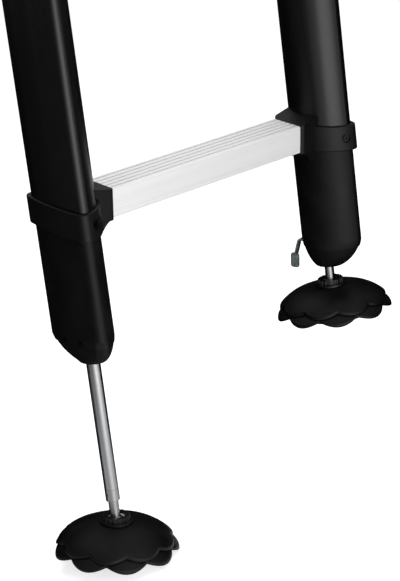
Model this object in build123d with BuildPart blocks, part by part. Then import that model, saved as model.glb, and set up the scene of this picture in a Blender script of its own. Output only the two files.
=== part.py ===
from build123d import *
import os
from math import cos, radians, sin, sqrt, tan

os.makedirs("parts", exist_ok=True)

# Lower end of a two-stile ladder. Origin midway between the open stile ends at the top, +Z up the stiles,
# +X along the rung, -Y towards the climber. Millimetres.

# Stile: a half-round tube, its flatter side outwards, with rounded crests at the front and the back
STILE_SETBACK = 43.5
STILE_ABOVE_RUNG = 296.8
STILE_INNER = 22.5
STILE_OUTER = 23.5
STILE_HALF_DEPTH = 43.6
STILE_CREST = 19.2
CREST_RADIUS = 9.0
STILE_WALL = 2.0

# Rung: a ribbed hollow extrusion, tilted so that its tread lies level on a leaning ladder
RUNG_SPAN = 283.0
RUNG_DEPTH = 42.0
RUNG_HEIGHT = 32.5
RUNG_BACK = 1.7
RUNG_TILT = 8.8
RUNG_WALL = 2.6
RUNG_EDGE = 2.0
RUNG_INSERT = 16.0
GROOVE_COUNT = 5
GROOVE_PITCH = 7.6
GROOVE_WIDTH = 2.0
GROOVE_DEPTH = 1.2

# Collar: a band round the stile with a socket for the rung
BAND_DROP = 4.7
BAND_SHORT = 3.2
BAND_WALL = 3.5
BAND_EDGE = 1.4
SOCKET_LIP = 3.0
SOCKET_UNDER = 0.8
SOCKET_RISE = 0.6
SHOULDER_RISE = 8.0
SHOULDER_RUN = 33.0
SOCKET_BACK_CORNER = 9.0
SOCKET_FRONT_CORNER = 5.0
GUSSET_DROP = 13.0
GUSSET_REACH = 22.0
GUSSET_INSET = 6.0
GUSSET_HOLLOW = (0.61, 0.22)
COLLAR_FIT = 0.3
RUNG_FIT = 0.3

# Leg housing: a moulded sleeve flush with the stile, with a spigot up inside the tube
SPIGOT_HEIGHT = 34.0
SPIGOT_FIT = 0.3
SPIGOT_WALL = 3.0
FLOOR_DROP = 12.0
FLOOR_THICKNESS = 24.0
HOUSING_STRAIGHT = 116.0
HOUSING_WALL = 4.6
RIM_DROP = 8.5
TAPER_STEPS = 3

# Nose: the housing's end and its cap round in to the rod, each side of the section at its own rate
NOSE_HEIGHT = 33.0
NOSE_LAND = 1.0
NOSE_INNER_CURVE = 1.57
NOSE_OUTER_CURVE = 1.0
NOSE_DEPTH_CURVE = 1.73
NOSE_TIP = 12.5
NOSE_STEP = 0.8
NOSE_STEPS = 7
CAP_SPIGOT = 12.0
CAP_FIT = 0.3
CAP_WELL_DROP = 8.0
CAP_WELL_WALL = 3.2

# Leg: a steel tube that slides through two bushes
ROD_RADIUS = 7.75
ROD_WALL = 2.2
ROD_RECESS = 0.3
LEG_TRAVEL = 180.0
EXTENSION = {"left": 162.8, "right": 0.0}
RUNNING_FIT = 0.08
SLIP_FIT = 0.05
BUSH_WALL = 2.7
BUSH_FLANGE = 2.2
FLANGE_THICKNESS = 1.5
LOWER_BUSH_LENGTH = 12.0
STOP_FLANGE = 12.0
STOP_HEIGHT = 10.0
STOP_PLUG = 18.0
STOP_EDGE = 2.0
STOP_GAP = 0.5

# Rod end: ferrule, cross pin and ball stud
FERRULE_HEIGHT = 14.0
FERRULE_EDGE = 0.4
PIN_RADIUS = 2.0
PIN_HEIGHT = 8.0
PIN_RECESS = 0.35
NECK_RADIUS = 5.6
NECK_LENGTH = 17.7
STUD_INSERT = 26.0
BALL_RADIUS = 10.0

# Ball socket: liner, ribbed collar and cup
BALL_GAP = 0.3
LINER_WALL = 2.0
LINER_TOP = 6.2
LINER_BOTTOM = -7.0
SOCKET_MOUTH = 9.8
SOCKET_TOP = 9.8
SOCKET_SPLIT = -2.0
SOCKET_BARREL = 15.6
COLLAR_RADIUS = 14.0
COLLAR_FLANGE = 18.5
COLLAR_FLANGE_THICKNESS = 2.0
CUP_FLANGE = 22.0
CUP_FLANGE_THICKNESS = 3.0
CUP_FLOOR = 5.4
RIB_COUNT = 18
RIB_RADIUS = 1.2

# Pad: two nested domes with petals, and a tread block
PETALS = 9
DOME_TIP = 67.8
SKIRT_TIP = 71.8
PETAL_SCALLOP = 6.7
PETAL_PHASE = {"left": 19.8, "right": 10.6}
DOME_MARGIN = 2.7
DOME_HEIGHT = 26.0
DOME_APEX = 2.0
DOME_THICKNESS = 9.9
DOME_RIM = 5.0
SKIRT_THICKNESS = 4.6
SKIRT_RIM = 4.0
TIER_GAP = 0.3
SWIVEL_GAP = 0.3
SOLE_INSET = 4.0
SOLE_BORE = 24.0
SOLE_PROUD = 0.8
TREAD_GROOVES = 3
TREAD_PITCH = 10.0
TREAD_WIDTH = 3.0
TREAD_DEPTH = 2.0
PAD_TILT = {"left": (4.3, 5.6), "right": (-1.0, -1.4)}

# Rod lock: a plate that tilts on its fulcrum and grips the rod, with a tail that ends in a finger tab
LOCK_BEARING = 104.0
LOCK_TILT = 6.0
LOCK_GAUGE = 3.0
LOCK_ARM = 22.0
LOCK_HOLE = 8.4
LOCK_DISC = 12.2
LOCK_HEEL_WIDTH = 9.0
EYE_RADIUS = 3.2
LOCK_PIN_RADIUS = 1.6
EAR_THICKNESS = 2.4
EAR_GAP = 0.4
TAIL_WIDTH = 8.0
TAIL_GAUGE = 2.0
TAIL_REACH = 37.0
TAB_REACH = 5.0
TAB_SLOPE = 20.0
TAB_WIDTH = 11.0
TAB_LENGTH = 18.0
TAB_LAP = 2.0
TAB_BEND = 3.0
SLOT_MARGIN = 1.6
SEAT_GAP = 0.3
SPRING_WIRE = 0.7
SPRING_RADIUS = 9.8
SPRING_HEIGHT = 5.5
SPRING_TURNS = 2.5

# Screws
SCREW_RADIUS = 1.8
SCREW_HEAD = 3.4
SCREW_HEAD_HEIGHT = 1.6
SCREW_RECESS = 1.6
SCREW_RECESS_DEPTH = 1.0
SCREW_FIT = 0.1
COLLAR_SCREW_LENGTH = 8.0
COLLAR_SCREW_BEARING = 21.0
COLLAR_SCREW_SINK = 0.9
COLLAR_SCREW_WELL = 5.5
NOSE_SCREW_LENGTH = 6.2
NOSE_SCREW_HEIGHT = 4.5
NOSE_SCREW_SPREAD = 12.0
NOSE_SCREW_SINK = 1.2

# Levels that follow from the sizes above; the rung, its sockets and the collars' bands all lie at the rung's tilt
tilt = radians(RUNG_TILT)
rung_top = -STILE_ABOVE_RUNG
rung_end = RUNG_SPAN / 2
stile_axis = rung_end + STILE_SETBACK
band_height = RUNG_HEIGHT - BAND_SHORT
band_middle = BAND_DROP + band_height / 2
tube_end = rung_top - band_middle / cos(tilt)
band_bottom = rung_top - (BAND_DROP + band_height) / cos(tilt)
floor_top = tube_end - FLOOR_DROP
floor_bottom = floor_top - FLOOR_THICKNESS
nose_start = band_bottom - HOUSING_STRAIGHT
rim = nose_start - RIM_DROP
tip = nose_start - NOSE_HEIGHT + NOSE_LAND
cap_top = rim + CAP_SPIGOT
well_floor = rim - CAP_WELL_DROP
bush_radius = ROD_RADIUS + BUSH_WALL
lower_bush_top = well_floor + FLANGE_THICKNESS
upper_bush_top = floor_top + FLANGE_THICKNESS
rod_end_in = tip + ROD_RECESS
rod_length = upper_bush_top + STOP_GAP - (rod_end_in - LEG_TRAVEL)
spring_arm = LOCK_ARM - SPRING_RADIUS - SPRING_WIRE
spring_top = lower_bush_top + SPRING_HEIGHT
lock_level = spring_top + SEAT_GAP + LOCK_GAUGE / 2 - spring_arm * sin(radians(LOCK_TILT))
ball_drop = NECK_LENGTH + SOCKET_TOP
socket_radius = BALL_RADIUS + 2 * BALL_GAP + LINER_WALL
dome_radius = DOME_TIP + DOME_MARGIN
dome_rim = DOME_APEX - DOME_HEIGHT
skirt_radius = SKIRT_TIP + DOME_MARGIN
skirt_rim = dome_rim - DOME_THICKNESS - TIER_GAP
sole_rim = skirt_rim - SKIRT_RIM - TIER_GAP
sole_rise = DOME_HEIGHT - SKIRT_THICKNESS + SKIRT_RIM
sole_radius = SKIRT_TIP - PETAL_SCALLOP - SOLE_INSET
sole_bottom = sole_rim + sole_rise * sqrt(1 - (SKIRT_TIP / skirt_radius) ** 2) - SOLE_PROUD
cup_bottom = -socket_radius - CUP_FLOOR
cup_flange_top = sole_rim + sole_rise * sqrt(1 - (CUP_FLANGE / skirt_radius) ** 2) - SWIVEL_GAP


def write_piece(shape, name):
    """Names a finished piece and writes it as a STEP file."""
    shape.label = name
    export_step(shape, f"parts/{name}.step")


def write_pair(shape, name):
    """Writes a piece of the right-hand stile and its mirror image on the left."""
    write_piece(shape, f"{name}_right")
    write_piece(mirror(shape, about=Plane.YZ), f"{name}_left")


def oval(level, inner, outer, half_depth, crest):
    """A section round the right-hand stile's axis: two arcs that meet in rounded crests, front and back."""
    front = (stile_axis + crest, -half_depth)
    back = (stile_axis + crest, half_depth)
    with BuildSketch(Plane.XY.offset(level)) as outline:
        with BuildLine():
            ThreePointArc(front, (stile_axis + outer, 0), back)
            ThreePointArc(back, (stile_axis - inner, 0), front)
        make_face()
        fillet(outline.vertices(), CREST_RADIUS)
    return outline.sketch


def stile_section(level, growth=0.0):
    """The stile's section at a level, grown or shrunk evenly."""
    return oval(level, STILE_INNER + growth, STILE_OUTER + growth, STILE_HALF_DEPTH + growth, STILE_CREST + growth)


def drawn_in(size, share, curve):
    """A half width of the stile on its way to the nose's tip, along a quarter of a superellipse."""
    return NOSE_TIP + (size - NOSE_TIP) * (1 - share**curve) ** (1 / curve)


def nose_section(level, growth=0.0):
    """The section below the start of the nose, where every side rounds in towards the rod."""
    share = (nose_start - level) / NOSE_HEIGHT
    inner = drawn_in(STILE_INNER + growth, share, NOSE_INNER_CURVE)
    outer = drawn_in(STILE_OUTER + growth, share, NOSE_OUTER_CURVE)
    half_depth = drawn_in(STILE_HALF_DEPTH + growth, share, NOSE_DEPTH_CURVE)
    crest = (STILE_CREST + growth) * (half_depth - NOSE_TIP) / (STILE_HALF_DEPTH + growth - NOSE_TIP)
    return oval(level, inner, outer, half_depth, crest)


# Screws through the collar's round side, near its crests, into the stile and the housing
arc_rise = STILE_INNER + STILE_CREST
arc_radius = (STILE_HALF_DEPTH**2 + arc_rise**2) / (2 * arc_rise)
arc_centre = Vector(stile_axis + arc_radius - STILE_INNER, 0, tube_end)
collar_screw_planes = []
for side in (-1, 1):
    out = Vector(-sin(radians(COLLAR_SCREW_BEARING)), side * cos(radians(COLLAR_SCREW_BEARING)), 0)
    reach = out * (arc_radius + BAND_WALL - COLLAR_SCREW_SINK)
    head_top = arc_centre + reach + Vector(0, 0, reach.Y * tan(tilt))
    collar_screw_planes.append(Plane(origin=head_top, x_dir=(0, 0, 1), z_dir=out))

# Screws through the outer side of the housing, just above its rim, into the nose cap
nose_screw_planes = []
for side in (-1, 1):
    face_x = stile_axis + STILE_OUTER - NOSE_SCREW_SINK
    face = (face_x, side * NOSE_SCREW_SPREAD, rim + NOSE_SCREW_HEIGHT)
    nose_screw_planes.append(Plane(origin=face, x_dir=(0, 1, 0), z_dir=(1, 0, 0)))


def screw_set(planes, length):
    """Pan-head screws, each with its head's top on a plane."""
    with BuildPart() as screws:
        for plane in planes:
            with BuildSketch(plane):
                Circle(SCREW_HEAD)
            extrude(amount=-SCREW_HEAD_HEIGHT)
            with BuildSketch(plane):
                Circle(SCREW_RADIUS)
            extrude(amount=-length)
            with BuildSketch(plane):
                RegularPolygon(SCREW_RECESS, 6)
            extrude(amount=-SCREW_RECESS_DEPTH, mode=Mode.SUBTRACT)
    return screws.part


def screw_holes(planes, length, well, sink):
    """What a set of screws takes out of the pieces that they pass through, with wells for the heads."""
    with BuildPart() as holes:
        for plane in planes:
            with BuildSketch(plane):
                Circle(SCREW_RADIUS + SCREW_FIT)
            extrude(amount=-length - SCREW_FIT)
            with BuildSketch(plane.offset(-SCREW_HEAD_HEIGHT)):
                Circle(well)
            extrude(amount=SCREW_HEAD_HEIGHT + sink)
    return holes.part


collar_screw_holes = screw_holes(collar_screw_planes, COLLAR_SCREW_LENGTH, COLLAR_SCREW_WELL, BAND_WALL)
nose_screw_holes = screw_holes(nose_screw_planes, NOSE_SCREW_LENGTH, SCREW_HEAD + SCREW_FIT, BAND_WALL)
write_pair(screw_set(collar_screw_planes, COLLAR_SCREW_LENGTH), "collar_screws")
write_pair(screw_set(nose_screw_planes, NOSE_SCREW_LENGTH), "nose_screws")

# Stile tube: extruded aluminium, open at the top, where the ladder goes on
with BuildPart() as stile_tube:
    extrude(stile_section(0), amount=tube_end)
    extrude(stile_section(0, -STILE_WALL), amount=tube_end, mode=Mode.SUBTRACT)
    add(collar_screw_holes, mode=Mode.SUBTRACT)
write_pair(stile_tube.part, "stile_tube")

# The rung's frame: planes across it, along its side and in its tread
tread_way = Vector(0, cos(tilt), sin(tilt))
tread_normal = Vector(0, -sin(tilt), cos(tilt))
tread_middle = Vector(0, RUNG_BACK, rung_top)
side_plane = Plane(origin=tread_middle, x_dir=(1, 0, 0), z_dir=-tread_way)
tread_plane = Plane(origin=tread_middle, x_dir=(1, 0, 0), z_dir=tread_normal)


def across_rung(x):
    """The plane across the rung at a place along it: its axes are the tread's way back and its normal."""
    return Plane(origin=tread_middle + Vector(x, 0, 0), x_dir=tread_way, z_dir=(1, 0, 0))


# Rung: hollow extrusion with a grooved tread, held at both ends in the collars
rung_length = RUNG_SPAN + 2 * RUNG_INSERT
with BuildPart() as rung:
    with BuildSketch(across_rung(-rung_length / 2)):
        with Locations((0, -RUNG_HEIGHT / 2)):
            RectangleRounded(RUNG_DEPTH, RUNG_HEIGHT, RUNG_EDGE)
            Rectangle(RUNG_DEPTH - 2 * RUNG_WALL, RUNG_HEIGHT - 2 * RUNG_WALL, mode=Mode.SUBTRACT)
        with GridLocations(GROOVE_PITCH, 0, GROOVE_COUNT, 1):
            Rectangle(GROOVE_WIDTH, 2 * GROOVE_DEPTH, mode=Mode.SUBTRACT)
    extrude(amount=rung_length)
write_piece(rung.part, "rung")

# Socket block: its top slopes up to the stile like a shoulder, and its end is rounded off in plan
socket_depth = RUNG_DEPTH + 2 * SOCKET_LIP
socket_length = stile_axis - rung_end
socket_bottom = -RUNG_HEIGHT - SOCKET_UNDER
shoulder = rung_end + SHOULDER_RUN
with BuildPart() as socket_block:
    with BuildSketch(side_plane):
        with BuildLine():
            Polyline(
                (rung_end, socket_bottom),
                (rung_end, SOCKET_RISE),
                (shoulder, SHOULDER_RISE),
                (stile_axis, SHOULDER_RISE),
                (stile_axis, socket_bottom),
                close=True,
            )
        make_face()
    extrude(amount=socket_depth / 2, both=True)
    with BuildSketch(tread_plane) as block_plan:
        with Locations((rung_end, 0)):
            Rectangle(socket_length, socket_depth, align=(Align.MIN, Align.CENTER))
        ends = block_plan.vertices().group_by(Axis.X)[0].sort_by(Axis.Y)
        fillet(ends[0], SOCKET_FRONT_CORNER)
        ends = block_plan.vertices().group_by(Axis.X)[0].sort_by(Axis.Y)
        fillet(ends[-1], SOCKET_BACK_CORNER)
    extrude(amount=RUNG_HEIGHT + SHOULDER_RISE, both=True, mode=Mode.INTERSECT)

# Collar: a band round the stile, the socket block for the rung and a hollowed gusset under it
gusset_bottom = socket_bottom - GUSSET_DROP
gusset_toe = (rung_end + SOCKET_FRONT_CORNER, socket_bottom)
gusset_waist = (rung_end + GUSSET_HOLLOW[0] * GUSSET_REACH, socket_bottom - GUSSET_HOLLOW[1] * GUSSET_DROP)
gusset_heel = (rung_end + GUSSET_REACH, gusset_bottom)
gusset_top = -RUNG_HEIGHT / 2
collar_top = rung_top + STILE_HALF_DEPTH
collar_bottom = band_bottom - STILE_HALF_DEPTH
with BuildPart() as rung_collar:
    extrude(stile_section(collar_top, BAND_WALL), amount=collar_bottom - collar_top)
    with BuildSketch(across_rung(rung_end)):
        with Locations((0, -band_middle)):
            Rectangle(4 * STILE_HALF_DEPTH, band_height)
    extrude(amount=2 * STILE_SETBACK, mode=Mode.INTERSECT)
    fillet(rung_collar.faces().filter_by(Axis((0, 0, 0), tread_normal)).edges(), BAND_EDGE)
    add(socket_block.part)
    with BuildSketch(side_plane):
        with BuildLine():
            ThreePointArc(gusset_toe, gusset_waist, gusset_heel)
            Polyline(gusset_heel, (stile_axis, gusset_bottom), (stile_axis, gusset_top))
            Polyline((stile_axis, gusset_top), (gusset_toe[0], gusset_top), gusset_toe)
        make_face()
    extrude(amount=socket_depth / 2 - GUSSET_INSET, both=True)
    extrude(stile_section(collar_top, COLLAR_FIT), amount=collar_bottom - collar_top, mode=Mode.SUBTRACT)
    with BuildSketch(across_rung(rung_end)):
        with Locations((0, -RUNG_HEIGHT / 2)):
            RectangleRounded(RUNG_DEPTH + 2 * RUNG_FIT, RUNG_HEIGHT + 2 * RUNG_FIT, RUNG_EDGE)
    extrude(amount=RUNG_INSERT + RUNG_FIT, mode=Mode.SUBTRACT)
    add(collar_screw_holes, mode=Mode.SUBTRACT)
write_pair(rung_collar.part, "rung_collar")

# The lock plate's frame: it turns about its fulcrum, in front of the rod, and its tail points to the inner
# back of the stile. At rest the spring holds the tail up.
bearing = Vector(cos(radians(LOCK_BEARING)), sin(radians(LOCK_BEARING)), 0)
up = Vector(0, 0, 1)
fulcrum = Vector(stile_axis, 0, lock_level) - bearing * LOCK_ARM
tail_way = bearing * cos(radians(LOCK_TILT)) + up * sin(radians(LOCK_TILT))
plate_normal = up * cos(radians(LOCK_TILT)) - bearing * sin(radians(LOCK_TILT))
plate_plane = Plane(origin=fulcrum, x_dir=tail_way, z_dir=plate_normal)
bend_plane = Plane(origin=fulcrum, x_dir=tail_way, z_dir=tail_way.cross(plate_normal))
ear_plane = Plane(origin=fulcrum, x_dir=bearing, z_dir=bearing.cross(up))
slot_rise = (LOCK_ARM + TAIL_REACH) * sin(radians(LOCK_TILT))
slot_height = slot_rise + TAIL_GAUGE + 2 * SLOT_MARGIN
slot_start = Vector(stile_axis, 0, lock_level + slot_rise / 2) + bearing * LOCK_DISC
with BuildPart() as tail_slot:
    with BuildSketch(Plane(origin=slot_start, x_dir=bearing.cross(up), z_dir=bearing)):
        Rectangle(TAIL_WIDTH + 2 * SLOT_MARGIN, slot_height)
    extrude(amount=TAIL_REACH)

# Leg housing: flush with the stile, rounding in to a rim, with a spigot up inside the tube and a floor that
# carries the upper bush. The tail of the lock comes out through a slot in its rim.
taper = []
for step in range(TAPER_STEPS + 1):
    taper.append(nose_section(nose_start - RIM_DROP * step / TAPER_STEPS))
spigot_growth = -STILE_WALL - SPIGOT_FIT
with BuildPart() as leg_housing:
    extrude(stile_section(tube_end), amount=nose_start - tube_end)
    loft(taper)
    extrude(stile_section(tube_end, spigot_growth), amount=SPIGOT_HEIGHT)
    well = stile_section(floor_top, spigot_growth - SPIGOT_WALL)
    extrude(well, amount=tube_end + SPIGOT_HEIGHT - floor_top, mode=Mode.SUBTRACT)
    extrude(stile_section(floor_bottom, -HOUSING_WALL), amount=rim - floor_bottom, mode=Mode.SUBTRACT)
    with BuildSketch(Plane.XY.offset(floor_top)):
        with Locations((stile_axis, 0)):
            Circle(bush_radius + SLIP_FIT)
    extrude(amount=-FLOOR_THICKNESS, mode=Mode.SUBTRACT)
    add(tail_slot.part, mode=Mode.SUBTRACT)
    add(collar_screw_holes, mode=Mode.SUBTRACT)
    add(nose_screw_holes, mode=Mode.SUBTRACT)
write_pair(leg_housing.part, "leg_housing")

# Nose cap: a dome that closes in on the rod, with a well for the lock and two ears for the lock's pin
dome_levels = []
for step in range(NOSE_STEPS + 1):
    fall = (rim - tip) * sin(radians(90 * step / NOSE_STEPS))
    dome_levels.append(nose_section(rim - fall, -NOSE_STEP))
spigot_seat = -HOUSING_WALL - CAP_FIT
ear_offset = LOCK_HEEL_WIDTH / 2 + EAR_GAP
ear_height = lock_level - well_floor
with BuildPart() as nose_cap:
    loft(dome_levels)
    extrude(stile_section(rim, spigot_seat), amount=CAP_SPIGOT)
    extrude(stile_section(well_floor, spigot_seat - CAP_WELL_WALL), amount=cap_top - well_floor, mode=Mode.SUBTRACT)
    for side in (-1, 1):
        with BuildSketch(ear_plane.offset(side * ear_offset)):
            Circle(EYE_RADIUS)
            with Locations((0, -ear_height / 2)):
                Rectangle(2 * EYE_RADIUS, ear_height)
        extrude(amount=side * EAR_THICKNESS)
    with BuildSketch(ear_plane):
        Circle(LOCK_PIN_RADIUS + SLIP_FIT)
    extrude(amount=ear_offset + EAR_THICKNESS + SLIP_FIT, both=True, mode=Mode.SUBTRACT)
    with BuildSketch(Plane.XY.offset(well_floor)):
        with Locations((stile_axis, 0)):
            Circle(bush_radius + SLIP_FIT)
    extrude(amount=tip - well_floor, mode=Mode.SUBTRACT)
    add(tail_slot.part, mode=Mode.SUBTRACT)
    add(nose_screw_holes, mode=Mode.SUBTRACT)
write_pair(nose_cap.part, "nose_cap")


def guide_bush(top, length):
    """A flanged plastic bush with a running fit on the rod, its flange on top."""
    with BuildPart() as bush:
        with BuildSketch(Plane.XY.offset(top - FLANGE_THICKNESS)):
            with Locations((stile_axis, 0)):
                Circle(bush_radius)
        extrude(amount=-length)
        with BuildSketch(Plane.XY.offset(top)):
            with Locations((stile_axis, 0)):
                Circle(bush_radius + BUSH_FLANGE)
        extrude(amount=-FLANGE_THICKNESS)
        with BuildSketch(Plane.XY.offset(top)):
            with Locations((stile_axis, 0)):
                Circle(ROD_RADIUS + RUNNING_FIT)
        extrude(amount=-length - FLANGE_THICKNESS, mode=Mode.SUBTRACT)
    return bush.part


write_pair(guide_bush(upper_bush_top, FLOOR_THICKNESS), "upper_bush")
write_pair(guide_bush(lower_bush_top, LOWER_BUSH_LENGTH), "lower_bush")

# Lock plate: a ring round the rod, an eye on the fulcrum's pin, and a tail bent down to a finger tab that is
# folded square to it
hole_x = LOCK_ARM / cos(radians(LOCK_TILT / 2))
tail_end = LOCK_ARM + TAIL_REACH
tab_middle = tail_end + TAB_REACH
with BuildPart() as lock_plate:
    with BuildSketch(plate_plane.offset(-LOCK_GAUGE / 2)):
        with Locations((hole_x, 0)):
            Circle(LOCK_DISC)
        with Locations((hole_x / 2, 0)):
            Rectangle(hole_x, LOCK_HEEL_WIDTH)
        with Locations((hole_x, 0)):
            Circle(LOCK_HOLE, mode=Mode.SUBTRACT)
    extrude(amount=LOCK_GAUGE)
    with BuildSketch(bend_plane):
        Circle(EYE_RADIUS)
    extrude(amount=LOCK_HEEL_WIDTH / 2, both=True)
    with BuildSketch(bend_plane):
        Circle(LOCK_PIN_RADIUS + RUNNING_FIT)
    extrude(amount=LOCK_HEEL_WIDTH / 2, both=True, mode=Mode.SUBTRACT)
    with BuildSketch(bend_plane):
        with BuildLine():
            FilletPolyline(
                (hole_x + LOCK_HOLE + LOCK_GAUGE / 2, 0),
                (tail_end, 0),
                (tab_middle, -TAB_SLOPE),
                radius=TAB_BEND,
            )
        trace(line_width=TAIL_GAUGE)
    extrude(amount=TAIL_WIDTH / 2, both=True)
    with BuildSketch(bend_plane.offset(-TAIL_WIDTH / 2)):
        with Locations((tab_middle, -TAB_SLOPE - TAB_LENGTH / 2 + TAB_LAP)):
            RectangleRounded(TAB_WIDTH, TAB_LENGTH, TAB_BEND)
    extrude(amount=TAIL_GAUGE)
write_pair(lock_plate.part, "lock_plate")

with BuildPart() as lock_pin:
    with BuildSketch(ear_plane):
        Circle(LOCK_PIN_RADIUS)
    extrude(amount=ear_offset + EAR_THICKNESS, both=True)
write_pair(lock_pin.part, "lock_pin")

# Lock spring: a short open coil round the rod, between the lower bush and the plate
spring_rise = SPRING_HEIGHT - 2 * SPRING_WIRE
spring_start = (stile_axis, 0, lower_bush_top + SPRING_WIRE)
with BuildPart() as lock_spring:
    with BuildLine() as coil:
        Helix(spring_rise / SPRING_TURNS, spring_rise, SPRING_RADIUS, spring_start)
    with BuildSketch(Plane(origin=coil.line @ 0, z_dir=coil.line % 0)):
        Circle(SPRING_WIRE)
    sweep(path=coil.line)
write_pair(lock_spring.part, "lock_spring")

# Leg, in its own frame: origin at the rod's lower end, +Z up the rod
rod_bore = ROD_RADIUS - ROD_WALL
pin_reach = ROD_RADIUS - PIN_RECESS
with BuildPart() as pin_hole:
    with BuildSketch(Plane.YZ):
        with Locations((0, PIN_HEIGHT)):
            Circle(PIN_RADIUS + SLIP_FIT)
    extrude(amount=ROD_RADIUS, both=True)

with BuildPart() as leg_rod:
    with BuildSketch(Plane.XY.offset(FERRULE_HEIGHT)):
        Circle(ROD_RADIUS)
        Circle(rod_bore, mode=Mode.SUBTRACT)
    extrude(amount=rod_length - FERRULE_HEIGHT)

with BuildPart() as rod_stop:
    with BuildSketch(Plane.XY.offset(rod_length)):
        Circle(STOP_FLANGE)
    extrude(amount=STOP_HEIGHT)
    with BuildSketch(Plane.XY.offset(rod_length)):
        Circle(rod_bore - SLIP_FIT)
    extrude(amount=-STOP_PLUG)
    chamfer(rod_stop.faces().sort_by(Axis.Z)[-1].edges(), STOP_EDGE)

with BuildPart() as rod_ferrule:
    with BuildSketch():
        Circle(ROD_RADIUS)
        Circle(rod_bore, mode=Mode.SUBTRACT)
    extrude(amount=FERRULE_HEIGHT)
    chamfer(rod_ferrule.edges().filter_by(GeomType.CIRCLE).group_by(SortBy.RADIUS)[-1], FERRULE_EDGE)
    add(pin_hole.part, mode=Mode.SUBTRACT)

with BuildPart() as cross_pin:
    with BuildSketch(Plane.YZ):
        with Locations((0, PIN_HEIGHT)):
            Circle(PIN_RADIUS)
    extrude(amount=pin_reach, both=True)

with BuildPart() as ball_stud:
    with BuildSketch():
        Circle(rod_bore - SLIP_FIT)
    extrude(amount=STUD_INSERT)
    with BuildSketch():
        Circle(NECK_RADIUS)
    extrude(amount=-ball_drop)
    with Locations((0, 0, -ball_drop)):
        Sphere(BALL_RADIUS)
    add(pin_hole.part, mode=Mode.SUBTRACT)

# Foot, in its own frame: origin at the ball's centre, +Z up the pad's axis
with BuildPart() as socket_liner:
    Sphere(BALL_RADIUS + BALL_GAP + LINER_WALL)
    Sphere(BALL_RADIUS + BALL_GAP, mode=Mode.SUBTRACT)
    split(bisect_by=Plane.XY.offset(LINER_TOP), keep=Keep.BOTTOM)
    split(bisect_by=Plane.XY.offset(LINER_BOTTOM), keep=Keep.TOP)

collar_seat = DOME_APEX + SWIVEL_GAP
collar_shoulder = collar_seat + COLLAR_FLANGE_THICKNESS
with BuildPart() as socket_collar:
    with BuildSketch(Plane.XY.offset(SOCKET_SPLIT)):
        Circle(SOCKET_BARREL)
    extrude(amount=collar_seat - SOCKET_SPLIT)
    with BuildSketch(Plane.XY.offset(collar_seat)):
        Circle(COLLAR_FLANGE)
    extrude(amount=COLLAR_FLANGE_THICKNESS)
    with BuildSketch(Plane.XY.offset(collar_shoulder)):
        Circle(COLLAR_RADIUS)
        with PolarLocations(COLLAR_RADIUS, RIB_COUNT):
            Circle(RIB_RADIUS)
    extrude(amount=SOCKET_TOP - collar_shoulder)
    Sphere(socket_radius, mode=Mode.SUBTRACT)
    with BuildSketch():
        Circle(SOCKET_MOUTH)
    extrude(amount=SOCKET_TOP, mode=Mode.SUBTRACT)

with BuildPart() as socket_base:
    with BuildSketch(Plane.XY.offset(SOCKET_SPLIT)):
        Circle(SOCKET_BARREL)
    extrude(amount=cup_bottom - SOCKET_SPLIT)
    with BuildSketch(Plane.XY.offset(cup_flange_top)):
        Circle(CUP_FLANGE)
    extrude(amount=-CUP_FLANGE_THICKNESS)
    Sphere(socket_radius, mode=Mode.SUBTRACT)


def around(radius, angle):
    """A point on a circle round the pad's axis."""
    return (radius * cos(radians(angle)), radius * sin(radians(angle)))


def petal_tier(rim_level, tip_radius, crown, edge, phase):
    """A rubber dome between two turned ellipses, crown thick at its middle, cut to a rim of petals."""
    pitch = 360 / PETALS
    radius = tip_radius + DOME_MARGIN
    notch = tip_radius - PETAL_SCALLOP
    under_rim = rim_level - edge
    under_rise = DOME_HEIGHT - crown + edge
    with BuildPart() as tier:
        with BuildSketch(Plane.XZ):
            with BuildLine():
                over = EllipticalCenterArc((0, rim_level), radius, DOME_HEIGHT)
                under = EllipticalCenterArc((0, under_rim), radius, under_rise)
                Line(over @ 0, under @ 0)
                Line(over @ 1, under @ 1)
            make_face()
        revolve(axis=Axis.Z)
        with BuildSketch(Plane.XY.offset(under_rim)):
            with BuildLine():
                for petal in range(PETALS):
                    middle = phase + petal * pitch
                    ThreePointArc(
                        around(notch, middle - pitch / 2),
                        around(tip_radius, middle),
                        around(notch, middle + pitch / 2),
                    )
            make_face()
            Circle(SOCKET_BARREL + SWIVEL_GAP, mode=Mode.SUBTRACT)
        extrude(amount=DOME_HEIGHT + edge, mode=Mode.INTERSECT)
    return tier.part


# Sole: the tread block that fills the dome, with ring grooves underneath and a well for the socket
sole_middle = (SOLE_BORE + sole_radius) / 2
with BuildPart() as pad_sole:
    with BuildSketch(Plane.XZ):
        with Locations((0, sole_rim)):
            Ellipse(skirt_radius, sole_rise)
        with Locations((sole_middle, sole_bottom + DOME_HEIGHT / 2)):
            Rectangle(sole_radius - SOLE_BORE, DOME_HEIGHT, mode=Mode.INTERSECT)
        with Locations((sole_middle, sole_bottom)):
            with GridLocations(TREAD_PITCH, 0, TREAD_GROOVES, 1):
                Rectangle(TREAD_WIDTH, 2 * TREAD_DEPTH, mode=Mode.SUBTRACT)
    revolve(axis=Axis.Z)

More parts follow.
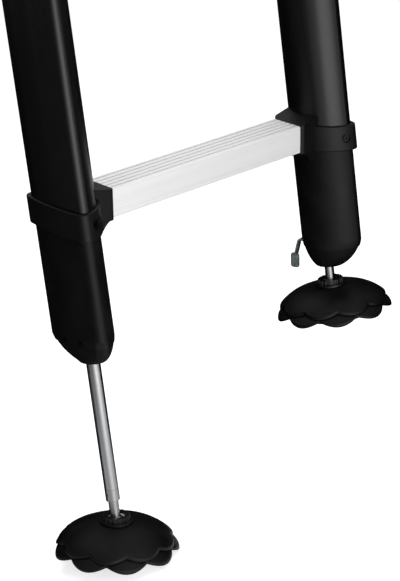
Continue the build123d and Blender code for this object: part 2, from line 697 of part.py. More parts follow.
leg_pieces = {
    "leg_rod": leg_rod.part,
    "rod_stop": rod_stop.part,
    "rod_ferrule": rod_ferrule.part,
    "cross_pin": cross_pin.part,
    "ball_stud": ball_stud.part,
}
for side, hand in (("left", -1), ("right", 1)):
    rod_end = rod_end_in - EXTENSION[side]
    rod_place = Pos(hand * stile_axis, 0, rod_end)
    for name, piece in leg_pieces.items():
        write_piece(rod_place * piece, f"{name}_{side}")
    tilt_x, tilt_y = PAD_TILT[side]
    liner_place = Pos(hand * stile_axis, 0, rod_end - ball_drop) * Rot(tilt_x, 0, 0)
    pad_place = liner_place * Rot(0, tilt_y, 0)
    phase = PETAL_PHASE[side]
    pad_dome = petal_tier(dome_rim, DOME_TIP, DOME_THICKNESS, DOME_RIM, phase)
    pad_skirt = petal_tier(skirt_rim, SKIRT_TIP, SKIRT_THICKNESS, SKIRT_RIM, phase + 180 / PETALS)
    write_piece(liner_place * socket_liner.part, f"socket_liner_{side}")
    write_piece(pad_place * socket_collar.part, f"socket_collar_{side}")
    write_piece(pad_place * socket_base.part, f"socket_base_{side}")
    write_piece(pad_place * pad_dome, f"pad_dome_{side}")
    write_piece(pad_place * pad_skirt, f"pad_skirt_{side}")
    write_piece(pad_place * pad_sole.part, f"pad_sole_{side}")
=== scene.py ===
import math

import bpy
import numpy as np
from mathutils import Matrix, Vector


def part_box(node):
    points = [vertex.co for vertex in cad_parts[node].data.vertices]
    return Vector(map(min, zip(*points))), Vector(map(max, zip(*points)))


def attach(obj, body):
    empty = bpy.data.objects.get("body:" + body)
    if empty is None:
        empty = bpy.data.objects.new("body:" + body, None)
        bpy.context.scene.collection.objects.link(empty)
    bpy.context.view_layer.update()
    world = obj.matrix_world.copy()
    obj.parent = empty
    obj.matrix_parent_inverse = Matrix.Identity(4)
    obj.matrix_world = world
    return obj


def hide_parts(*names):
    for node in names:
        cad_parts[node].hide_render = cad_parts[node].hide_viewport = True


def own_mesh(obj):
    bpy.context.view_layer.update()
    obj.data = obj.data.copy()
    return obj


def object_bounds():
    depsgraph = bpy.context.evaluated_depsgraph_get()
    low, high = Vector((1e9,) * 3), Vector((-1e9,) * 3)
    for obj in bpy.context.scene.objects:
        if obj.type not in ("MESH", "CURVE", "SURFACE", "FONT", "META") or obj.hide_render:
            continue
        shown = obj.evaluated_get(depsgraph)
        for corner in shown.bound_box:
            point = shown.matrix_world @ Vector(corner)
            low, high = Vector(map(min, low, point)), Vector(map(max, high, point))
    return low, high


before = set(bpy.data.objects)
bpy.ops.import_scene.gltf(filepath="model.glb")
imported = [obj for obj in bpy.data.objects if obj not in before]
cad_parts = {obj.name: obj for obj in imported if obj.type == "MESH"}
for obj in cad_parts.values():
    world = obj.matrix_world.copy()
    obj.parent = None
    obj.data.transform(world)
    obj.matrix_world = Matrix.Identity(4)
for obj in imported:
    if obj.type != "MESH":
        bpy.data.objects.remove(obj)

cad_box = [list(corner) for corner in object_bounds()]


# Stiles: half-round tubes of extruded aluminium under a smooth black coat, cut off square at the top, where
# the ladder goes on. The coat has a faint orange peel and long rubs, and the sawn ends show bare metal.
MM = 0.001
SIDES = {"left": -1, "right": 1}  # with the sign of X on each
STILE_BLACK = (0.0016, 0.0016, 0.0018, 1.0)
STILE_RUBBED = (0.0034, 0.0034, 0.0037, 1.0)
STILE_SHINE = 0.24
STILE_ROUGHNESS = (0.27, 0.35)
RUBS_PER_METRE = 60.0
RUB_STRETCH = (1, 1, 0.03)
RUB_LEVELS = (0.45, 0.75)
PEEL_PER_METRE = 700.0
PEEL_DETAIL = 1.0
PEEL_HEIGHT = 0.03 * MM
SAWN_METAL = (0.42, 0.43, 0.44, 1.0)
SAWN_DEPTH = 0.5 * MM
NOISE_LEVELS = (0.3, 0.7)


class Finish:
    """A node material with a Principled shader, whose patterns lie in the object's own coordinates."""

    def __init__(self, name, specular=0.5, metallic=0.0, roughness=0.5):
        self.material = bpy.data.materials.new(name)
        self.material.use_nodes = True
        self.nodes = self.material.node_tree.nodes
        self.links = self.material.node_tree.links
        self.shader = self.nodes["Principled BSDF"]
        self.shader.inputs["Specular IOR Level"].default_value = specular
        self.shader.inputs["Metallic"].default_value = metallic
        self.shader.inputs["Roughness"].default_value = roughness
        self.coordinates = self.nodes.new("ShaderNodeTexCoord").outputs

    def join(self, source, node, socket):
        """Wires an output to a node's input."""
        self.links.new(source, node.inputs[socket])

    def noise(self, scale, detail=3.0, stretch=(1, 1, 1)):
        """Noise with so many features to the metre, drawn out where stretch is below 1."""
        mapping = self.nodes.new("ShaderNodeMapping")
        mapping.inputs["Scale"].default_value = stretch
        self.join(self.coordinates["Object"], mapping, "Vector")
        texture = self.nodes.new("ShaderNodeTexNoise")
        texture.inputs["Scale"].default_value = scale
        texture.inputs["Detail"].default_value = detail
        self.join(mapping.outputs["Vector"], texture, "Vector")
        return texture.outputs["Fac"]

    def component(self, vector, axis):
        """What a vector measures along one axis."""
        split = self.nodes.new("ShaderNodeSeparateXYZ")
        self.join(vector, split, "Vector")
        return split.outputs[axis]

    def along(self, axis):
        """The place along one axis, in metres."""
        return self.component(self.coordinates["Object"], axis)

    def facing(self, axis):
        """How far the surface faces along one axis, from -1 to 1."""
        return self.component(self.coordinates["Normal"], axis)

    def ramp(self, source, low, high, start=0.0, end=1.0):
        """The source between two levels, mapped from low..high to start..end."""
        node = self.nodes.new("ShaderNodeMapRange")
        for socket, value in (("From Min", low), ("From Max", high), ("To Min", start), ("To Max", end)):
            node.inputs[socket].default_value = value
        self.join(source, node, "Value")
        return node.outputs["Result"]

    def blend(self, share, first, second):
        """Mixes two colours, each a colour or an output, by a share."""
        node = self.nodes.new("ShaderNodeMix")
        node.data_type = "RGBA"
        self.join(share, node, "Factor")
        for socket, colour in (("A", first), ("B", second)):
            if isinstance(colour, tuple):
                node.inputs[socket].default_value = colour
            else:
                self.join(colour, node, socket)
        return node.outputs["Result"]

    def mottle(self, source, levels, first, second):
        """A colour that goes from the first to the second as the source goes through two levels."""
        return self.blend(self.ramp(source, *levels), first, second)

    def paint(self, colour):
        """Sends a colour to the shader."""
        self.join(colour, self.shader, "Base Color")

    def vary_roughness(self, source, roughness):
        """Lets the roughness follow a noise, from its first value to its second."""
        self.join(self.ramp(source, *NOISE_LEVELS, *roughness), self.shader, "Roughness")

    def bump(self, source, height, strength=0.5):
        """Raises the surface by the source, so many metres at most."""
        node = self.nodes.new("ShaderNodeBump")
        node.inputs["Distance"].default_value = height
        node.inputs["Strength"].default_value = strength
        self.join(source, node, "Height")
        self.join(node.outputs["Normal"], self.shader, "Normal")


def dress(finish, node):
    """Gives a CAD node its finish."""
    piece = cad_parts[node]
    piece.data.materials.clear()
    piece.data.materials.append(finish.material)


def dress_pairs(finish, *names):
    """Gives CAD nodes that come as a left and a right one their finish."""
    for name in names:
        for side in SIDES:
            dress(finish, f"{name}_{side}")


stile_coat = Finish("stile_coat", specular=STILE_SHINE)
rubs = stile_coat.noise(RUBS_PER_METRE, stretch=RUB_STRETCH)
coat = stile_coat.mottle(rubs, RUB_LEVELS, STILE_BLACK, STILE_RUBBED)
sawn_levels = (-SAWN_DEPTH, -SAWN_DEPTH / 2)
stile_coat.paint(stile_coat.mottle(stile_coat.along("Z"), sawn_levels, coat, SAWN_METAL))
stile_coat.vary_roughness(rubs, STILE_ROUGHNESS)
stile_coat.bump(stile_coat.noise(PEEL_PER_METRE, PEEL_DETAIL), PEEL_HEIGHT)
dress_pairs(stile_coat, "stile_tube")


# Rung: an extruded aluminium hollow with a grooved tread, satin anodised, with the die's fine lines along it.
# The tread, which faces up, is painted paler as painted light from above. It is pushed into the collars at
# both ends.
RUNG_PALE = (0.83, 0.83, 0.835, 1.0)
RUNG_GREY = (0.77, 0.77, 0.78, 1.0)
TREAD_PAINTED_LIT = (0.90, 0.90, 0.90, 1.0)
TREAD_FACING = (0.7, 0.95)
RUNG_SHINE = 0.3
RUNG_METALLIC = 0.25
RUNG_ROUGHNESS = (0.46, 0.58)
DIE_LINES_PER_METRE = 900.0
DIE_LINE_STRETCH = (0.004, 1, 1)
DIE_LINE_LEVELS = (0.35, 0.65)
DIE_LINE_HEIGHT = 0.02 * MM
rung_satin = Finish("rung_satin", specular=RUNG_SHINE, metallic=RUNG_METALLIC)
die_lines = rung_satin.noise(DIE_LINES_PER_METRE, stretch=DIE_LINE_STRETCH)
lined = rung_satin.mottle(die_lines, DIE_LINE_LEVELS, RUNG_GREY, RUNG_PALE)
# Painted light: where the rung faces up, its colour is turned to a paler one that stands for the light from
# above.
rung_satin.paint(rung_satin.mottle(rung_satin.facing("Z"), TREAD_FACING, lined, TREAD_PAINTED_LIT))
rung_satin.vary_roughness(die_lines, RUNG_ROUGHNESS)
rung_satin.bump(die_lines, DIE_LINE_HEIGHT)
dress(rung_satin, "rung")


# Collars and leg housings: black glass-filled nylon, moulded with a fine spark-eroded grain. The collars are
# screwed through the stile to the housings, which have a spigot up inside the tube.
NYLON_BLACK = (0.0022, 0.0022, 0.0023, 1.0)
NYLON_DUSTY = (0.0046, 0.0046, 0.0047, 1.0)
NYLON_SHINE = {"rung_collar": 0.15, "leg_housing": 0.12}
NYLON_ROUGHNESS = (0.42, 0.5)
DUST_PER_METRE = 35.0
DUST_LEVELS = (0.4, 0.8)
GRAIN_PER_METRE = 1500.0
GRAIN_DETAIL = 2.0
GRAIN_HEIGHT = 0.04 * MM
nylons = {}
for name, shine in NYLON_SHINE.items():
    nylon = Finish(f"{name}_nylon", specular=shine)
    dust = nylon.noise(DUST_PER_METRE)
    nylon.paint(nylon.mottle(dust, DUST_LEVELS, NYLON_BLACK, NYLON_DUSTY))
    nylon.vary_roughness(dust, NYLON_ROUGHNESS)
    nylon.bump(nylon.noise(GRAIN_PER_METRE, GRAIN_DETAIL), GRAIN_HEIGHT)
    dress_pairs(nylon, name)
    nylons[name] = nylon


# Webs: a hollowed web of the same nylon under the socket of each collar, moulded in one with it. It carries
# the socket's front down to the stile in a curve.
RUNG_TILT = 8.8
RUNG_HEIGHT = 32.5 * MM
RUNG_INSERT = 16.0 * MM
SOCKET_UNDER = 0.8 * MM
STILE_ARC = 43.6 * MM
WEB_TOE = 1.5 * MM
WEB_REACH = 18.7 * MM
WEB_DROP = 14.0 * MM
WEB_CURVE = 2.0
WEB_FRONT = -22.0 * MM
WEB_BACK = 18.0 * MM
WEB_BURIED = 1.0 * MM
WEB_STEPS = 16


def add_object(name, data):
    """Puts a mesh, a lamp or a camera into the scene."""
    thing = bpy.data.objects.new(name, data)
    bpy.context.scene.collection.objects.link(thing)
    return thing


def ringed_skin(name, rings, finish, smooth=True, closed=False, flip=False):
    """A skin over rings of points: the grid's rows are the rings, and its columns go round each of them.

    A closed skin joins its last ring to its first, and any other has a flat face on each end. Flip turns the
    faces round, for rings that run the other way."""
    count, steps = rings.shape[:2]
    ring, step = np.meshgrid(np.arange(count if closed else count - 1), np.arange(steps), indexing="ij")
    next_ring = (ring + 1) % count
    next_step = (step + 1) % steps
    corners = [ring * steps + step, ring * steps + next_step]
    corners += [next_ring * steps + next_step, next_ring * steps + step]
    faces = np.stack(corners, axis=-1).reshape(-1, 4).tolist()
    if not closed:
        faces.append(list(range(steps))[::-1])
        faces.append(list(range((count - 1) * steps, count * steps)))
    mesh = bpy.data.meshes.new(name)
    mesh.from_pydata(rings.reshape(-1, 3).tolist(), [], faces)
    if flip:
        mesh.flip_normals()
    mesh.polygons.foreach_set("use_smooth", np.full(len(mesh.polygons), smooth))
    mesh.materials.append(finish.material)
    return mesh


def collar_web(name, hand):
    """The web's section carried from back to front across the rung.

    The section falls from the toe to the heel as a power of the reach, runs in to the stile's round side, and
    closes inside the socket. It stands square to the tread, so it is turned by the rung's tilt."""
    low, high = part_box("rung")
    toe = high.x - RUNG_INSERT + WEB_TOE
    under = -RUNG_HEIGHT / 2 - SOCKET_UNDER
    share = np.linspace(0, 1, WEB_STEPS)
    out = np.concatenate([[0], share * (WEB_REACH - WEB_TOE), [0, 0]])
    fall = np.concatenate([[-WEB_BURIED], WEB_DROP * share**WEB_CURVE, [WEB_DROP, -WEB_BURIED]])
    across = np.linspace(WEB_BACK, WEB_FRONT, WEB_STEPS)[:, None]
    tilt = math.radians(RUNG_TILT)
    y = (low.y + high.y) / 2 + across * math.cos(tilt) - (under - fall) * math.sin(tilt)
    z = (low.z + high.z) / 2 + across * math.sin(tilt) + (under - fall) * math.cos(tilt)
    x = np.broadcast_to(toe + out, y.shape).copy()
    stile_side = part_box("stile_tube_right")[0].x + STILE_ARC - np.sqrt(STILE_ARC**2 - y**2)
    at_stile = slice(-2, None)
    x[:, at_stile] = stile_side[:, at_stile]
    rings = np.stack([hand * x, y, z], axis=-1)
    return ringed_skin(name, rings, nylons["rung_collar"], smooth=False, flip=hand < 0)


for side, hand in SIDES.items():
    web_name = f"collar_web_{side}"
    web = add_object(web_name, collar_web(web_name, hand))
    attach(web, "frame")


# Nose caps: domes of the same nylon with a coarser, duller grain, which close the housings round the rods.
# Each is pushed up into its housing and screwed from outside.
CAP_BLACK = (0.0014, 0.0014, 0.0015, 1.0)
CAP_SHINE = 0.1
CAP_ROUGHNESS = (0.54, 0.66)
PITS_PER_METRE = 420.0
PIT_DETAIL = 2.0
PIT_LEVELS = (0.4, 0.8)
PIT_HEIGHT = 0.12 * MM
cap_grain = Finish("cap_grain", specular=CAP_SHINE)
pits = cap_grain.noise(PITS_PER_METRE, PIT_DETAIL)
cap_grain.paint(cap_grain.mottle(pits, PIT_LEVELS, CAP_BLACK, NYLON_DUSTY))
cap_grain.vary_roughness(pits, CAP_ROUGHNESS)
cap_grain.bump(pits, PIT_HEIGHT)
dress_pairs(cap_grain, "nose_cap")


# Screws and the lock's pins: blackened steel, rubbed a little brighter here and there. The screws hold the
# collars and the nose caps, and each pin lies in two ears of a nose cap.
SCREW_BLACK = (0.012, 0.012, 0.0124, 1.0)
SCREW_WORN = (0.02, 0.02, 0.02, 1.0)
SCREW_ROUGHNESS = (0.32, 0.5)
WEAR_PER_METRE = 500.0
WEAR_LEVELS = (0.5, 0.8)
blackened = Finish("blackened_steel", metallic=1.0)
wear = blackened.noise(WEAR_PER_METRE)
blackened.paint(blackened.mottle(wear, WEAR_LEVELS, SCREW_BLACK, SCREW_WORN))
blackened.vary_roughness(wear, SCREW_ROUGHNESS)
dress_pairs(blackened, "collar_screws", "nose_screws", "lock_pin")


# Bushes, rod stops and socket liners: natural acetal, a cloudy off-white with a soft shine. The bushes guide
# the rod in its housing, the stop plugs the rod's upper end, and the liner lies round the ball.
ACETAL_PALE = (0.62, 0.61, 0.57, 1.0)
ACETAL_GREASED = (0.42, 0.41, 0.37, 1.0)
ACETAL_SHINE = 0.4
ACETAL_ROUGHNESS = (0.36, 0.5)
SMEARS_PER_METRE = 120.0
SMEAR_LEVELS = (0.45, 0.75)
acetal = Finish("natural_acetal", specular=ACETAL_SHINE)
smears = acetal.noise(SMEARS_PER_METRE)
acetal.paint(acetal.mottle(smears, SMEAR_LEVELS, ACETAL_PALE, ACETAL_GREASED))
acetal.vary_roughness(smears, ACETAL_ROUGHNESS)
dress_pairs(acetal, "upper_bush", "lower_bush", "rod_stop", "socket_liner")


# Lock: a stamped plate with a bent finger tab, zinc plated and passivated to a greenish grey, held up by a
# wire spring round the rod, which the plate squashes when the tab is pressed down.
ZINC_GREY = (0.20, 0.25, 0.23, 1.0)
ZINC_PALE = (0.36, 0.42, 0.39, 1.0)
ZINC_METALLIC = 0.8
ZINC_ROUGHNESS = (0.34, 0.5)
SPANGLES_PER_METRE = 260.0
SPANGLE_LEVELS = (0.35, 0.7)
SPRING_WIRE = 0.7 * MM
SPRING_TURNS = 2.5
SPRING_STEPS = 120
WIRE_STEPS = 12
zinc = Finish("zinc_plate", metallic=ZINC_METALLIC)
spangles = zinc.noise(SPANGLES_PER_METRE)
zinc.paint(zinc.mottle(spangles, SPANGLE_LEVELS, ZINC_GREY, ZINC_PALE))
zinc.vary_roughness(spangles, ZINC_ROUGHNESS)
dress_pairs(zinc, "lock_plate")


def coil(name, low, high, hand):
    """A spring that fills a box: a circle carried up a helix.

    The first parameter goes along the wire and sets the angle and the height. The second goes round it."""
    run = np.linspace(0, 1, SPRING_STEPS)[:, None]
    turn = 2 * np.pi * SPRING_TURNS * run
    about = np.linspace(0, -2 * np.pi, WIRE_STEPS, endpoint=False)
    reach = (high.y - low.y) / 2 - SPRING_WIRE + SPRING_WIRE * np.cos(about)
    x = (low.x + high.x) / 2 + hand * reach * np.cos(turn)
    y = (low.y + high.y) / 2 + reach * np.sin(turn)
    z = low.z + SPRING_WIRE + (high.z - low.z - 2 * SPRING_WIRE) * run + SPRING_WIRE * np.sin(about)
    return ringed_skin(name, np.stack([x, y, z], axis=-1), zinc, flip=hand < 0)


for side, hand in SIDES.items():
    low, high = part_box(f"lock_spring_{side}")
    coil_name = f"lock_coil_{side}"
    spring = add_object(coil_name, coil(coil_name, low, high, hand))
    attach(spring, "frame")
    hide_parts(f"lock_spring_{side}")
    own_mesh(spring)


# Legs: drawn steel tubes with fine lines along them, which slide through the bushes. A ferrule, a cross pin
# and a turned ball stud of the same bright steel close the lower end of each.
STEEL_BRIGHT = (0.31, 0.314, 0.32, 1.0)
STEEL_DULL = (0.25, 0.254, 0.26, 1.0)
STEEL_ROUGHNESS = (0.3, 0.4)
STEEL_ANISOTROPY = 0.8
STEEL_SHINE_TURN = 0.25
DRAWN_LINES_PER_METRE = 2500.0
DRAWN_LINE_STRETCH = (1, 1, 0.01)
DRAWN_LINE_LEVELS = (0.35, 0.7)
bright_steel = Finish("bright_steel", metallic=1.0)
drawn_lines = bright_steel.noise(DRAWN_LINES_PER_METRE, stretch=DRAWN_LINE_STRETCH)
bright_steel.paint(bright_steel.mottle(drawn_lines, DRAWN_LINE_LEVELS, STEEL_DULL, STEEL_BRIGHT))
bright_steel.vary_roughness(drawn_lines, STEEL_ROUGHNESS)
bright_steel.shader.inputs["Anisotropic"].default_value = STEEL_ANISOTROPY
bright_steel.shader.inputs["Anisotropic Rotation"].default_value = STEEL_SHINE_TURN
dress_pairs(bright_steel, "leg_rod", "rod_ferrule", "cross_pin", "ball_stud")


# Sockets: a ribbed collar and a cup of black nylon, moulded smoother than the housings. They close round the
# ball's liner from above and below.
SOCKET_SHINE = 0.4
SOCKET_ROUGHNESS = (0.26, 0.38)
HANDLING_PER_METRE = 200.0
HANDLING_LEVELS = (0.4, 0.8)
socket_nylon = Finish("socket_nylon", specular=SOCKET_SHINE)
handling = socket_nylon.noise(HANDLING_PER_METRE)
socket_nylon.paint(socket_nylon.mottle(handling, HANDLING_LEVELS, NYLON_BLACK, NYLON_DUSTY))
socket_nylon.vary_roughness(handling, SOCKET_ROUGHNESS)
dress_pairs(socket_nylon, "socket_collar", "socket_base")


# Pads: black moulded rubber, a domed tier of petals over a second one turned half a petal, and a tread block
# under them with ring grooves. They turn together on the socket.
RUBBER_BLACK = (0.0016, 0.0016, 0.0017, 1.0)
RUBBER_BLOOM = (0.0040, 0.0040, 0.0041, 1.0)
RUBBER_SHINE = 0.14
RUBBER_ROUGHNESS = (0.44, 0.54)
BLOOM_PER_METRE = 45.0
BLOOM_LEVELS = (0.4, 0.75)
TEXTURE_PER_METRE = 1100.0
TEXTURE_DETAIL = 2.0
TEXTURE_HEIGHT = 0.06 * MM
PETALS = 9
PETAL_STEPS = 32
PETAL_SCALLOP = 5.3 * MM
PETAL_VALLEY = 0.5 * MM
VALLEY_FADE = 5
DOME_APEX = 2.0 * MM
DOME_HEIGHT = 32.0 * MM
DOME_FULLNESS = 2.46
DOME_MARGIN = 3.0 * MM
DOME_TIP = 64.8 * MM
DOME_STEPS = 28
SKIRT_TIP = 69.3 * MM
SKIRT_DROP = 8.45 * MM
SKIRT_EDGE = 3.7 * MM
TIER_GAP = 0.3 * MM
RIM_ROUND = 2.2 * MM
RIM_STEPS = 12
UNDERCUT_IN = 3.2 * MM
UNDERCUT_UP = 1.6 * MM
PAD_BORE = 15.9 * MM
SOLE_OUTSIDE = 61.0 * MM
SOLE_BORE = 24.0 * MM
SOLE_BOTTOM = -32.5 * MM
SOLE_STEPS = 144
SOLE_TOP_STEPS = 24
BEVEL_OUT = 14.0 * MM
BEVEL_UP = 6.2 * MM
BEVEL_STEPS = 8
TREAD_GROOVES = 3
TREAD_PITCH = 7.5 * MM
TREAD_WIDTH = 3.0 * MM
TREAD_DEPTH = 2.0 * MM
BALL_RADIUS = 10.0 * MM
PAD_TILT = {"left": (4.3, 5.6), "right": (-1.0, -1.4)}
PETAL_PHASE = {"left": 19.6, "right": 8.0}
rubber = Finish("foot_rubber", specular=RUBBER_SHINE)
bloom = rubber.noise(BLOOM_PER_METRE)
rubber.paint(rubber.mottle(bloom, BLOOM_LEVELS, RUBBER_BLACK, RUBBER_BLOOM))
rubber.vary_roughness(bloom, RUBBER_ROUGHNESS)
rubber.bump(rubber.noise(TEXTURE_PER_METRE, TEXTURE_DETAIL), TEXTURE_HEIGHT)
dome_rim = DOME_APEX - DOME_HEIGHT
skirt_rim = dome_rim - SKIRT_DROP


def crown(rim, tip, reach):
    """How high a tier stands at a reach from its axis: a superellipse, rim high just outside the tips."""
    return rim + DOME_HEIGHT * np.sqrt(1 - (reach / (tip + DOME_MARGIN)) ** DOME_FULLNESS)


def above_skirt(reach):
    """The dome's underside, which lies on the skirt."""
    return crown(skirt_rim, SKIRT_TIP, reach) + TIER_GAP


def under_skirt(reach):
    """The skirt's underside."""
    return crown(skirt_rim, SKIRT_TIP, reach) - SKIRT_EDGE


def turned_skin(name, reach, level, turn):
    """A section carried round the pad's axis: each point has its reach from it, its turn and its level."""
    rings = np.stack([reach * np.cos(turn), reach * np.sin(turn), level], axis=-1)
    return ringed_skin(name, rings, rubber, closed=True, flip=True)


def petal_tier(name, rim, tip, underside, phase):
    """A dome with a rim of petals.

    The outline is one arc for each petal, through its tip and the notches beside it. The section runs out
    along the crown, down round the rim on a quarter of an ellipse, in along an undercut and back along the
    underside. Shallow valleys run up the crown from the notches."""
    turn = np.linspace(0, 2 * np.pi, PETALS * PETAL_STEPS, endpoint=False)
    pitch = 2 * np.pi / PETALS
    off_middle = (turn - np.radians(phase) + pitch / 2) % pitch - pitch / 2
    notch = tip - PETAL_SCALLOP
    centre = (tip**2 - notch**2) / (2 * (tip - notch * np.cos(pitch / 2)))
    arc = tip - centre
    outline = centre * np.cos(off_middle) + np.sqrt(arc**2 - (centre * np.sin(off_middle)) ** 2)
    inner = outline - RIM_ROUND
    out = np.sin(np.linspace(0, np.pi / 2, DOME_STEPS))[:, None]
    across = PAD_BORE + (inner - PAD_BORE) * out
    upper = crown(rim, tip, across) - PETAL_VALLEY * out**VALLEY_FADE * (2 * off_middle / pitch) ** 2
    round_off = np.linspace(0, np.pi / 2, RIM_STEPS)[1:, None]
    rim_reach = inner + RIM_ROUND * np.sin(round_off)
    brink = underside(outline) + UNDERCUT_UP
    rim_level = brink + (upper[-1] - brink) * np.cos(round_off)
    back = PAD_BORE + (outline - UNDERCUT_IN - PAD_BORE) * out[::-1]
    reach = np.concatenate([across, rim_reach, back])
    level = np.concatenate([upper, rim_level, underside(back)])
    return turned_skin(name, reach, level, turn)


def tread_block(name):
    """The sole: a section turned round the axis, with a crown, a bevel and a flat tread.

    Each ring groove of the tread is a square notch in the section, entered from its outer side."""
    tread = SOLE_OUTSIDE - BEVEL_OUT
    middle = (SOLE_BORE + tread) / 2
    top = np.linspace(SOLE_BORE, SOLE_OUTSIDE, SOLE_TOP_STEPS)
    bevel = np.linspace(SOLE_OUTSIDE, tread, BEVEL_STEPS)
    bevel_level = np.linspace(SOLE_BOTTOM + BEVEL_UP, SOLE_BOTTOM, BEVEL_STEPS)
    notch_sides = np.array([1, 1, -1, -1]) * TREAD_WIDTH / 2
    notch_depths = np.array([0, 1, 1, 0]) * TREAD_DEPTH
    grooves = middle + TREAD_PITCH * (np.arange(TREAD_GROOVES)[::-1] - (TREAD_GROOVES - 1) / 2)
    under = (grooves[:, None] + notch_sides).ravel()
    under_level = SOLE_BOTTOM + np.tile(notch_depths, TREAD_GROOVES)
    reach = np.concatenate([top, bevel, under, [SOLE_BORE]])[:, None]
    level = np.concatenate([under_skirt(top) - TIER_GAP, bevel_level, under_level, [SOLE_BOTTOM]])[:, None]
    turn = np.linspace(0, 2 * np.pi, SOLE_STEPS, endpoint=False)
    all_round = np.ones((1, SOLE_STEPS))
    return turned_skin(name, reach * all_round, level * all_round, turn)


def seat_on_ball(mesh, side, node):
    """Sets a mesh from the pad's own frame on its ball, at the pad's tilt, in place of a CAD node."""
    low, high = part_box(f"ball_stud_{side}")
    ball = Vector(((low.x + high.x) / 2, (low.y + high.y) / 2, low.z + BALL_RADIUS))
    tilt_x, tilt_y = (math.radians(angle) for angle in PAD_TILT[side])
    tilt = Matrix.Rotation(tilt_x, 4, "X") @ Matrix.Rotation(tilt_y, 4, "Y")
    mesh.transform(Matrix.Translation(ball) @ tilt)
    piece = add_object(mesh.name, mesh)
    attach(piece, f"pad_{side}")
    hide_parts(node)


half_petal = 180 / PETALS
for side, phase in PETAL_PHASE.items():
    dome = petal_tier(f"rubber_dome_{side}", dome_rim, DOME_TIP, above_skirt, phase)
    seat_on_ball(dome, side, f"pad_dome_{side}")
    skirt = petal_tier(f"rubber_skirt_{side}", skirt_rim, SKIRT_TIP, under_skirt, phase + half_petal)
    seat_on_ball(skirt, side, f"pad_skirt_{side}")
    seat_on_ball(tread_block(f"rubber_sole_{side}"), side, f"pad_sole_{side}")


# Stage: a wide pale floor just under the lower foot, with one soft lamp overhead and one low in front. Floor
# and world look white where they are seen plainly, and the world fills the shadows a little.
WHITE = (1.0, 1.0, 1.0, 1.0)
FLOOR_PALE = (0.80, 0.80, 0.80, 1.0)
FLOOR_WARM = (0.81, 0.81, 0.80, 1.0)
FLOOR_ROUGHNESS = 0.9
FLOOR_CLOUDS_PER_METRE = 3.0
FLOOR_REACH = 40.0
FLOOR_GAP = 0.5 * MM
FLOOR_GLOW = 0.7
LAMP_TARGET = Vector((0.0, 0.0, -0.35))
FRONT_PLACE = Vector((-0.35, -1.25, -0.40))
FRONT_SIZE = (1.0, 0.58)
FRONT_RADIANCE = 5.4
OVERHEAD_PLACE = Vector((0.2, 0.2, 2.2))
OVERHEAD_SIZE = (2.4, 2.4)
OVERHEAD_RADIANCE = 2.5
WORLD_FILL = 0.35


def seen_plainly(tree):
    """1 for what is seen straight, in a gloss or through something clear, and 0 for all other light."""
    rays = tree.nodes.new("ShaderNodeLightPath")
    share = rays.outputs["Is Camera Ray"]
    for kind in ("Is Glossy Ray", "Is Transmission Ray"):
        either = tree.nodes.new("ShaderNodeMath")
        either.operation = "MAXIMUM"
        tree.links.new(share, either.inputs[0])
        tree.links.new(rays.outputs[kind], either.inputs[1])
        share = either.outputs[0]
    return share


def panel(name, place, size, radiance):
    """A soft rectangular lamp that faces the part, with so much light leaving each bit of its surface."""
    width, height = size
    lamp = bpy.data.lights.new(name, "AREA")
    lamp.shape = "RECTANGLE"
    lamp.size = width
    lamp.size_y = height
    lamp.energy = radiance * width * height * math.pi
    stand = add_object(name, lamp)
    aim = (LAMP_TARGET - place).to_track_quat("-Z", "Y")
    stand.matrix_world = Matrix.Translation(place) @ aim.to_matrix().to_4x4()
    stand.visible_camera = False
    return stand


floor_paint = Finish("floor_paint", specular=0.0, roughness=FLOOR_ROUGHNESS)
floor_paint.paint(floor_paint.blend(floor_paint.noise(FLOOR_CLOUDS_PER_METRE), FLOOR_PALE, FLOOR_WARM))
glow = floor_paint.ramp(seen_plainly(floor_paint.material.node_tree), low=0.0, high=1.0, end=FLOOR_GLOW)
floor_paint.shader.inputs["Emission Color"].default_value = WHITE
floor_paint.join(glow, floor_paint.shader, "Emission Strength")

floor_level = cad_box[0][2] - FLOOR_GAP
corners = FLOOR_REACH * np.array([[-1, -1, 0], [1, -1, 0], [1, 1, 0], [-1, 1, 0]], float)
corners[:, 2] = floor_level
floor_mesh = bpy.data.meshes.new("floor")
floor_mesh.from_pydata(corners.tolist(), [], [(0, 1, 2, 3)])
floor_mesh.materials.append(floor_paint.material)
floor = add_object("floor", floor_mesh)

panel("low_front", FRONT_PLACE, FRONT_SIZE, FRONT_RADIANCE)
overhead = panel("overhead", OVERHEAD_PLACE, OVERHEAD_SIZE, OVERHEAD_RADIANCE)
overhead.visible_glossy = False

world = bpy.data.worlds.new("studio")
bpy.context.scene.world = world
world.use_nodes = True
sky = world.node_tree.nodes["Background"]
sky.inputs["Color"].default_value = WHITE
strength = world.node_tree.nodes.new("ShaderNodeMapRange")
strength.inputs["To Min"].default_value = WORLD_FILL
world.node_tree.links.new(seen_plainly(world.node_tree), strength.inputs["Value"])
world.node_tree.links.new(strength.outputs["Result"], sky.inputs["Strength"])


# Flags: black cloth on the floor and up round the sides and the back, greyer on the left. It shows in gloss
# only, so it darkens what the black coats mirror and throws no shadow.
FLAG_BLACK = (0.004, 0.004, 0.004, 1.0)
FLAG_GREY = (0.3, 0.3, 0.3, 1.0)
FLAG_ROUGHNESS = 1.0
FLAG_RADIUS = 0.57
FLAG_TOP = -0.06
FLAG_LIFT = 0.2 * MM
FLAG_STEPS = 49
FLAG_START = 33.0
WALL_END = 295.0
SHEET_END = 252.0
SHEET_HOLE = 0.02
GREY_FROM = 0.7
flag_cloth = Finish("flag_cloth", specular=0.0, roughness=FLAG_ROUGHNESS)
grey_levels = (-GREY_FROM * FLAG_RADIUS, -FLAG_RADIUS)
flag_cloth.paint(flag_cloth.mottle(flag_cloth.along("X"), grey_levels, FLAG_BLACK, FLAG_GREY))


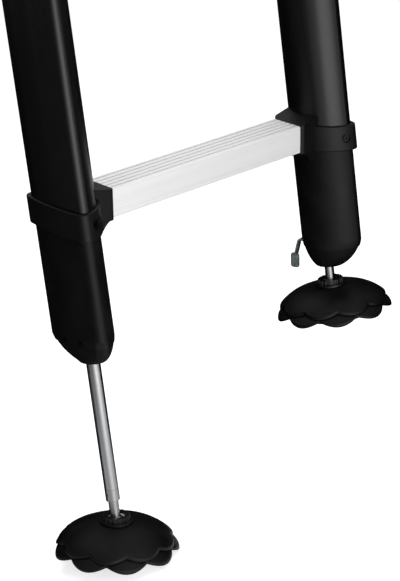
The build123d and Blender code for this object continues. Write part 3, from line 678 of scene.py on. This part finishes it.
def cloth_piece(name, end, inner, top):
    """A strip of cloth round the part, through the bearings up to an end.

    It is ruled from an inner ring on the floor to a ring of the flags' radius at a top level."""
    around = np.radians(np.linspace(FLAG_START, end, FLAG_STEPS))[:, None]
    spread = np.array([inner, FLAG_RADIUS])
    rise = np.broadcast_to([floor_level + FLAG_LIFT, top], (FLAG_STEPS, 2))
    points = np.stack([spread * np.sin(around), -spread * np.cos(around), rise], axis=-1).reshape(-1, 3)
    first = 2 * np.arange(FLAG_STEPS - 1)
    faces = np.stack([first, first + 1, first + 3, first + 2], axis=-1)
    mesh = bpy.data.meshes.new(name)
    mesh.from_pydata(points.tolist(), [], faces.tolist())
    mesh.materials.append(flag_cloth.material)
    flag = add_object(name, mesh)
    flag.visible_camera = False
    flag.visible_diffuse = False
    flag.visible_shadow = False


cloth_piece("wall_flag", WALL_END, FLAG_RADIUS, FLAG_TOP)
cloth_piece("floor_flag", SHEET_END, SHEET_HOLE, floor_level + FLAG_LIFT)


# Camera: the photograph's own view, from the front left and above, rolled a little. Its place, its turn and
# its focal length were fitted to the edges of the stiles, collars, rung and rod.
CAMERA_PLACE = Vector((-1.2802, -1.4416, 0.1429))
CAMERA_AZIMUTH = -41.0986
CAMERA_ELEVATION = 17.2291
CAMERA_ROLL = -7.115
FOCAL_PIXELS = 1795.4
IMAGE_HEIGHT = 581
azimuth = math.radians(CAMERA_AZIMUTH)
elevation = math.radians(CAMERA_ELEVATION)
level_way = Vector((-math.sin(azimuth), math.cos(azimuth), 0.0))
forward = level_way * math.cos(elevation) - Vector((0.0, 0.0, math.sin(elevation)))
level_view = forward.to_track_quat("-Z", "Y").to_matrix().to_4x4()
roll = Matrix.Rotation(math.radians(CAMERA_ROLL), 4, "Z")
camera = add_object("camera", bpy.data.cameras.new("camera"))
camera.data.lens = FOCAL_PIXELS * camera.data.sensor_width / IMAGE_HEIGHT
camera.matrix_world = Matrix.Translation(CAMERA_PLACE) @ level_view @ roll
bpy.context.scene.camera = camera
bpy.context.scene.view_settings.view_transform = "Standard"
